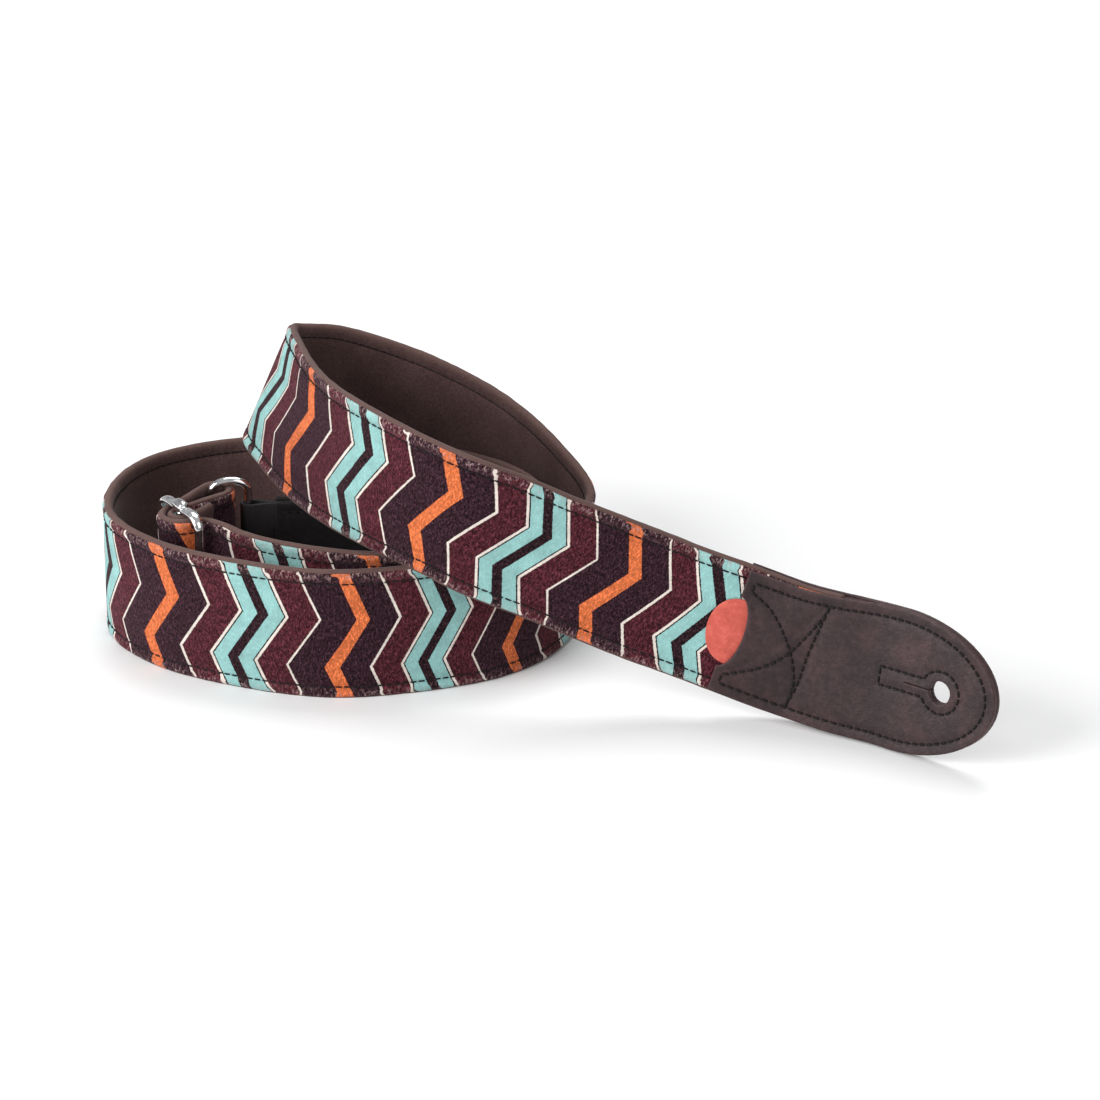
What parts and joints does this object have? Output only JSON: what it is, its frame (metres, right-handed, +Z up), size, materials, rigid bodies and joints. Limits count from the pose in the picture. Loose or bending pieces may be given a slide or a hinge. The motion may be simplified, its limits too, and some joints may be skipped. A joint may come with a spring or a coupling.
{
  "type": "guitar strap",
  "caption": "Padded woven guitar strap, coiled on its edge, with leather end tabs, a pick pocket, a metal slider and an oval ring.",
  "frame": {"origin": "centre of the coiled strap's bounding box on the floor it stands on", "axes": "+X from the coil towards tab A, +Y from the printed front stretch towards the back of the coil, +Z up, across the standing strap's width"},
  "size_m": [0.3234, 0.1988, 0.103],
  "materials": {
    "woven_print": "velvety woven print",
    "interlining_felt": "matt felt",
    "brown_microfibre": "brushed microfibre",
    "brown_leather": "smooth, waxed",
    "dark_leather": "smooth",
    "stiffener_board": "bonded board",
    "dark_thread": "twisted thread",
    "coral_plastic": "semi-gloss",
    "chrome": "polished plate"
  },
  "bodies": {
    "strap": {"strap_face_fabric": "woven_print", "strap_interlining": "interlining_felt", "strap_backing": "brown_microfibre", "strap_edge_thread_upper": "dark_thread", "strap_edge_thread_lower": "dark_thread", "strap_end_tack_thread": "dark_thread", "tab_a_front_leather": "brown_leather", "tab_a_back_leather": "brown_leather", "tab_a_stiffener": "stiffener_board", "tab_a_border_thread": "dark_thread", "tab_a_keyhole_thread": "dark_thread", "tab_a_pocket_thread_1": "dark_thread", "tab_a_pocket_thread_2": "dark_thread", "tab_a_pocket_thread_3": "dark_thread", "tab_a_pocket_thread_4": "dark_thread"},
    "pick": {"guitar_pick": "coral_plastic"},
    "slider": {"slider_frame": "chrome", "slider_centre_bar": "chrome"},
    "ring": {"oval_ring": "chrome"},
    "tab_b": {"tab_b_front_leather": "dark_leather", "tab_b_back_leather": "dark_leather", "tab_b_stiffener": "stiffener_board", "tab_b_ring_loop": "dark_leather", "tab_b_border_thread": "dark_thread", "tab_b_keyhole_thread": "dark_thread"}
  },
  "joints": [
    {"name": "pick_slide", "type": "slide", "parent": "strap", "child": "pick", "axis": [-0.9355, 0.2134, 0.2815], "range_m": [0, 0.018]},
    {"name": "slider_rock", "type": "hinge", "parent": "strap", "child": "slider", "pos_m": [-0.13085, 0.00614, 0], "axis": [0, 0, 1], "range_deg": [-3, 3]},
    {"name": "ring_swing", "type": "hinge", "parent": "strap", "child": "ring", "pos_m": [-0.12085, 0.02814, 0], "axis": [0, 0, 1], "range_deg": [-7, 4]},
    {"name": "tab_b_swing", "type": "hinge", "parent": "ring", "child": "tab_b", "pos_m": [-0.10758, 0.03001, 0], "axis": [0, 0, 1], "range_deg": [-7, 5]}
  ]
}
